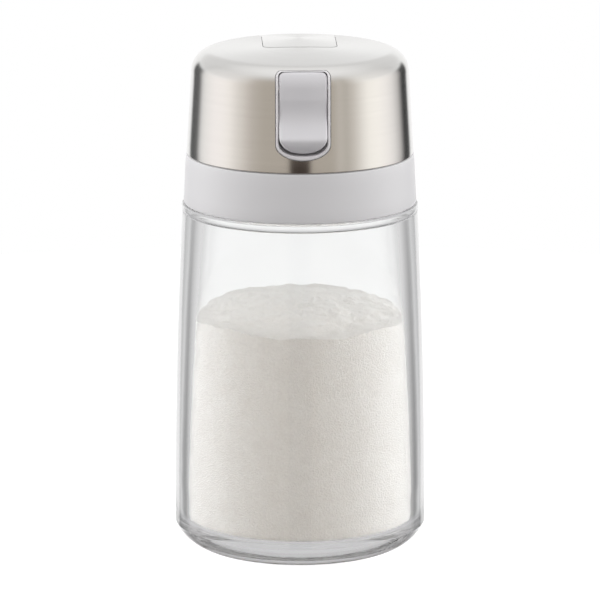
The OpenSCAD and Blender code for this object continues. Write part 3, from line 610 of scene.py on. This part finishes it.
brushed, add = material("brushed_steel")
rings = add("ShaderNodeGroup", {"node_tree": round_brushing}, Vector=on_object(add), Lines=9000.0)
tone = ramp(add, rings.outputs["Tone"], [(0.25, (0.695, 0.685, 0.67)), (0.75, (0.715, 0.705, 0.69))])
satin = maths(add, "MULTIPLY_ADD", rings.outputs["Height"], 0.06, 0.17)
scratches = add("ShaderNodeBump", Strength=0.03, Distance=0.00002, Height=rings.outputs["Height"])
round_axis = add("ShaderNodeTangent", {"direction_type": "RADIAL", "axis": "Z"})
steel = add("ShaderNodeBsdfPrincipled", Base_Color=tone, Metallic=1.0, Roughness=satin, Anisotropic=0.7,
            Anisotropic_Rotation=0.25, Normal=scratches.outputs[0], Tangent=round_axis.outputs[0])
add("ShaderNodeOutputMaterial", Surface=steel.outputs[0])

BEZEL_HALF, BEZEL_TOP, BEZEL_LOW, BEZEL_CORNER, BEZEL_ROUND = 8.0, TOP_Z - 2.2, CAP_Z + 4.2, 1.8, 4.6
FLAP_HALF, FLAP_FRONT, FLAP_Z, FLAP_CORNER, FLAP_ROUND = 11.0, -2.0, TOP_Z - 16.8, 2.5, 4.0
WINDOW_GAP, MOUTH_GAP, HINGE_GAP = 0.22, 0.15, 0.47
CLEAR_R = 44                                   # past every face of the cap


def flap_tools(side, ahead, low):
    """The two prisms whose overlap is the flap's room, grown at its sides, front and lower edge"""
    half, y0, z0 = FLAP_HALF + side, FLAP_FRONT - ahead, FLAP_Z - low
    c, r = FLAP_CORNER + side, FLAP_ROUND + side
    ground = ([(-half, CLEAR_R)] + arc((c - half, y0 + c), c, 180, 270, 8)
              + arc((half - c, y0 + c), c, 270, 360, 8) + [(half, CLEAR_R)])
    back = (arc((r - half, z0 + r), r, 180, 270, 8) + arc((half - r, z0 + r), r, 270, 360, 8)
            + [(half, TOP_Z + 5), (-half, TOP_Z + 5)])
    return up_z(ground, FLAP_Z - 8, TOP_Z + 6), along_y(back, FLAP_FRONT - 5, CLEAR_R)


def skin():
    """The drawn steel, both faces, with its lower edge rounded"""
    low = CAP_Z + LOW_EDGE_R
    edge = arc((cap_side(low, LOW_EDGE_R), low), LOW_EDGE_R, -90, -10, 6)
    return lathe(cap_line(STEEL_T, low)[::-1] + edge + cap_line(0, low), 240)


window = along_y(shield(BEZEL_HALF + WINDOW_GAP, BEZEL_TOP + 0.1, BEZEL_LOW - WINDOW_GAP,
                        BEZEL_CORNER + 0.2, BEZEL_ROUND, 2), -CLEAR_R, -26)
mouth_ground, mouth_back = flap_tools(MOUTH_GAP, HINGE_GAP, MOUTH_GAP)
mouth = carve(mouth_ground, ("INTERSECT", mouth_back))
bm = carve(skin(), ("DIFFERENCE", window), ("DIFFERENCE", mouth))
piece(bm, "cap_skin", "lid", "brushed_steel", brushed, "cap_shell", crease=30)

flap_ground, flap_back = flap_tools(0, 0, 0)
bm = carve(skin(), ("INTERSECT", flap_ground), ("INTERSECT", flap_back))
piece(bm, "flap_skin", "flap", "brushed_steel", brushed, "flap_shell", crease=30)


# Bezel: a grey moulding, painted lighter than the collar as a highlight, whose rim stands a little out of the
# steel round the lever, with the pocket behind it in one piece.
BEZEL_WALL, BEZEL_LIP, POCKET_BACK, RIM_DEPTH, RIM_OUT = 0.75, 1.25, 24.8, 1.6, 0.25
# The collar's grey plastic made lighter: a painted highlight on the bezel's rounded rim.
highlit_bezel_plastic = moulding("highlit_bezel_plastic", (0.89, 0.87, 0.885), (0.91, 0.89, 0.905), 0.32, 0.15)


def cap_radius(z, d=0):
    """Radius of the cap's outer face at height z, over its side and shoulder, d further in"""
    lift = z - shoulder[1]
    if lift <= (SHOULDER_R - d) * sin(radians(arc_from)):
        return cap_side(z, d)
    return shoulder[0] + sqrt(max(0, (SHOULDER_R - d) ** 2 - lift ** 2))


def front(x, z, d=0):
    """Y of the cap's front face at (x, z), d further in"""
    return -sqrt(cap_radius(z, d) ** 2 - x * x)


def loop(bm, outline, place):
    """A closed ring of vertices over an outline of (x, z), each at the y that place gives"""
    ring = [bm.verts.new((x, place(x, z), z)) for x, z in outline]
    return [bm.edges.new((a, b)) for a, b in zip(ring, ring[1:] + ring[:1])]


def rim_outline(t):
    """Outline of the bezel's rim, from its outer edge (t = 0) to its inner edge (t = 1)"""
    return shield(BEZEL_HALF - BEZEL_WALL * t, BEZEL_TOP - 0.25 * t, BEZEL_LOW + BEZEL_LIP * t,
                  BEZEL_CORNER - 0.4 * t, BEZEL_ROUND - 0.2 * t, 2 + 0.5 * t)


bm = bmesh.new()
rings = []
for t, out in ((0, -RIM_DEPTH), (0, 0.02), (0.05, 0.13), (0.14, 0.21), (0.28, RIM_OUT), (0.7, RIM_OUT),
               (0.85, 0.2), (0.95, 0.1), (1, -0.05), (1, -RIM_DEPTH)):
    rings.append(loop(bm, rim_outline(t), lambda x, z, out=out: front(x, z, -out)))
for a, b in zip(rings, rings[1:] + rings[:1]):
    bmesh.ops.bridge_loops(bm, edges=a + b)
bmesh.ops.recalc_face_normals(bm, faces=bm.faces)
under_steel = lathe([(0, CAP_Z + 0.5)] + cap_line(1.5, CAP_Z + 0.5))
join(bm, carve(cad_copy("lever_bezel"), ("INTERSECT", under_steel)))
piece(bm, "bezel_rim", "lid", "lever_plastic", highlit_bezel_plastic, "lever_bezel", crease=30)


# Lever: a darker grey than the bezel, a paddle that follows the cap and flares into a ledge for the
# thumb, with a rounded nose under it, a boss on the axle and an arm with a finger that lifts the flap.
LEVER_GAP, TOP_GAP, FLOOR_GAP, LEDGE_OUT, LEDGE_H, PADDLE_T = 0.2, 0.32, 0.7, 3.3, 4.8, 2.0
LEVER_HALF, LEVER_ROUND, RIM_R = BEZEL_HALF - BEZEL_WALL - LEVER_GAP, 5.4, 0.6
LEVER_TOP, LEVER_LOW = BEZEL_TOP - TOP_GAP, BEZEL_LOW + BEZEL_LIP + FLOOR_GAP
ROWS, ROW_FINE, COLUMNS = 46, 0.12, 24
lever_plastic = moulding("lever_plastic", (0.78, 0.77, 0.795), (0.8, 0.79, 0.815), 0.25, 0.12)
ledge_z = LEVER_LOW + LEDGE_H
bulge_z = ledge_z + 11
low_r = cap_side(LEVER_LOW) - 0.1
ledge_r = cap_side(ledge_z) + LEDGE_OUT
face_line = (
    cubic([(low_r - 1.4, LEVER_LOW - 0.4), (low_r + 1.2, LEVER_LOW + 0.1), (ledge_r - 0.4, ledge_z - 2.9),
           (ledge_r, ledge_z - 0.4)], 40)
    + cubic([(ledge_r, ledge_z - 0.2), (cap_side(ledge_z) - 0.4, ledge_z + 4.2),
             (cap_side(bulge_z) - 0.5, bulge_z - 5), (cap_side(bulge_z, -0.1), bulge_z)], 40))


def lever_radius(z):
    """Radius of the paddle's face at height z"""
    if z >= bulge_z:
        return cap_radius(z, -0.1)
    for (r0, z0), (r1, z1) in zip(face_line, face_line[1:]):
        if z0 <= z <= z1:
            return r0 + (r1 - r0) * (z - z0) / max(1e-9, z1 - z0)
    return face_line[0][0]


lever_outline = shield(LEVER_HALF, LEVER_TOP, LEVER_LOW, BEZEL_CORNER - 0.1, LEVER_ROUND, 2, 48)
outline_steps = list(zip(lever_outline, lever_outline[1:] + lever_outline[:1]))


def from_edge(x, z):
    """Distance of a point from the lever's outline"""
    best = 99.0
    for (x0, z0), (x1, z1) in outline_steps:
        dx, dz = x1 - x0, z1 - z0
        t = max(0, min(1, ((x - x0) * dx + (z - z0) * dz) / max(1e-9, dx * dx + dz * dz)))
        best = min(best, hypot(x - x0 - t * dx, z - z0 - t * dz))
    return best


def slice_at(bm, place, across):
    """Adds a row of edges where a plane crosses the mesh"""
    bmesh.ops.bisect_plane(bm, geom=bm.verts[:] + bm.edges[:] + bm.faces[:], plane_co=place,
                           plane_no=across, dist=1e-5)


bm = bmesh.new()
bm.faces.new([bm.verts.new((x, 0, z)) for x, z in lever_outline])
for inset in (0.04, 0.1, 0.18, 0.28):
    inner = max(bm.faces, key=lambda f: f.calc_area())
    bmesh.ops.inset_individual(bm, faces=[inner], thickness=inset, use_even_offset=True)
for i in range(1, 8):
    slice_at(bm, (0, 0, LEVER_LOW + ROW_FINE * i), (0, 0, 1))
for i in range(8, ROWS + 1):
    nose = 7 * ROW_FINE
    slice_at(bm, (0, 0, LEVER_LOW + nose + (LEVER_TOP - LEVER_LOW - nose) * (i - 7) / 40), (0, 0, 1))
for i in range(1, COLUMNS):
    slice_at(bm, (-LEVER_HALF + 2 * LEVER_HALF * i / COLUMNS, 0, 0), (1, 0, 0))
for v in bm.verts:
    d = from_edge(v.co.x, v.co.z)
    drop = RIM_R - sqrt(max(0, RIM_R ** 2 - max(0, RIM_R - d) ** 2))
    v.co.y = -sqrt(lever_radius(v.co.z) ** 2 - v.co.x ** 2) + drop
paddle_back = cap_side(ledge_z) - PADDLE_T
border = [e for e in bm.edges if e.is_boundary]
walls_made = bmesh.ops.extrude_edge_only(bm, edges=border)
for v in [g for g in walls_made["geom"] if isinstance(g, bmesh.types.BMVert)]:
    keep_r = paddle_back
    if v.co.z > shoulder[1]:
        v.co.z = shoulder[1] + (v.co.z - shoulder[1]) * (SHOULDER_R - PADDLE_T) / (SHOULDER_R + 0.1)
        keep_r = cap_radius(v.co.z, PADDLE_T)
    v.co.y = max(v.co.y + 0.6, -keep_r)
bmesh.ops.triangle_fill(bm, use_beauty=True, edges=[e for e in bm.edges if e.is_boundary])
bmesh.ops.recalc_face_normals(bm, faces=bm.faces)


def box(x, y0, y1, z0, z1):
    """A block of half width x"""
    return along_y([(-x, z0), (x, z0), (x, z1), (-x, z1)], y0, y1)


front_half = lathe([(paddle_back + 0.5, 130), (paddle_back + 0.5, shoulder[1])]
                   + arc(shoulder, SHOULDER_R - 1.5, 12, 90, 10)
                   + [(20, 160), (50, 160), (50, 130)], 96, closed=True)
arm_room = box(LEVER_HALF - 0.09, -40, 30, 136, 147.6)
join(bm, carve(cad_copy("lever"), ("INTERSECT", arm_room), ("DIFFERENCE", front_half)))
piece(bm, "lever_paddle", "lever", "lever_plastic", lever_plastic, "lever", crease=40)


# The rest of the lid keeps its CAD meshes: white mouldings for the floor plate, the inner cap, the
# spout and the flap's back, and bright steel for the pins and screws.
white_plastic = moulding("inner_plastic", (0.79, 0.79, 0.78), (0.83, 0.83, 0.82), 0.4, 0.2)
for node in ("floor_plate", "inner_cap", "spout", "flap_carrier"):
    repaint(node, white_plastic)
repaint("flap_seal", silicone)

bright, add = material("bright_steel")
smear = add("ShaderNodeTexNoise", Vector=on_object(add), Scale=700.0, Detail=3.0)
gloss = ramp(add, smear.outputs["Fac"], [(0.3, 0.16), (0.7, 0.3)])
shiny = add("ShaderNodeBsdfPrincipled", Base_Color=(0.75, 0.74, 0.73, 1), Metallic=1.0, Roughness=gloss)
add("ShaderNodeOutputMaterial", Surface=shiny.outputs[0])
for node in ("lever_axle", "flap_pin", "lid_screws", "spout_screws"):
    repaint(node, bright)


# Springs: both are wound of 0.5 mm bright wire. The lever's is a compression spring between the
# paddle and the pocket, and the flap's is a torsion spring round its pin, with two straight legs.
WIRE_R = 0.25


def wound(points):
    """A round wire along a line of points"""
    data = bpy.data.curves.new("wire", "CURVE")
    data.dimensions = "3D"
    data.bevel_depth, data.bevel_resolution, data.use_fill_caps = WIRE_R, 2, True
    line = data.splines.new("POLY")
    line.points.add(len(points) - 1)
    for spot, point in zip(line.points, points):
        spot.co = (*point, 1)
    drawn = placed("wire", data)
    bpy.context.view_layer.update()
    mesh = bpy.data.meshes.new_from_object(drawn.evaluated_get(bpy.context.evaluated_depsgraph_get()))
    bm = bmesh.new()
    bm.from_mesh(mesh)
    bpy.data.objects.remove(drawn)
    bpy.data.curves.remove(data)
    bpy.data.meshes.remove(mesh)
    bmesh.ops.remove_doubles(bm, verts=bm.verts, dist=1e-4)
    bmesh.ops.recalc_face_normals(bm, faces=bm.faces)
    return bm


TURNS, COIL_R, SPRING_Z, TURN_STEPS = 5, 2.0, 133.5, 32
coil_from, coil_to = -cap_side(ledge_z) + PADDLE_T + WIRE_R + 0.1, -POCKET_BACK - WIRE_R - 0.02
coil = [(COIL_R * cos(tau * i / TURN_STEPS), coil_from + (coil_to - coil_from) * i / (TURNS * TURN_STEPS),
         SPRING_Z + COIL_R * sin(tau * i / TURN_STEPS)) for i in range(TURNS * TURN_STEPS + 1)]
lever_wire = piece(wound(coil), "lever_spring_wire", "lid", "bright_steel", bright, "lever_spring", crease=60)
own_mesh(lever_wire)

FLAP_TURNS, FLAP_COIL_R, COIL_X, COIL_L, LEG_L, LEG_A = 4, 1.2, 3.3, 6.5, 6.5, 42.5
HINGE_Y, HINGE_Z, SPOUT_Y = 6.0, 150.2, 16.2
lean_y, lean_z = sin(radians(LEG_A)), cos(radians(LEG_A))
leg = (SPOUT_Y - WIRE_R - 0.05 - HINGE_Y + FLAP_COIL_R * lean_y) / lean_z
steps = FLAP_TURNS * TURN_STEPS
path = [(COIL_X, HINGE_Y - FLAP_COIL_R * lean_y + leg * lean_z,
         HINGE_Z - FLAP_COIL_R * lean_z - leg * lean_y)]
for i in range(steps + 1):
    a = radians(270 - LEG_A - (360 * FLAP_TURNS - LEG_A) * i / steps)
    path.append((COIL_X - COIL_L * i / steps, HINGE_Y + FLAP_COIL_R * cos(a), HINGE_Z + FLAP_COIL_R * sin(a)))
path.append((COIL_X - COIL_L, HINGE_Y + LEG_L, HINGE_Z - FLAP_COIL_R))
flap_wire = piece(wound(path), "flap_spring_wire", None, "bright_steel", bright, "flap_spring", crease=60)
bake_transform(flap_wire)
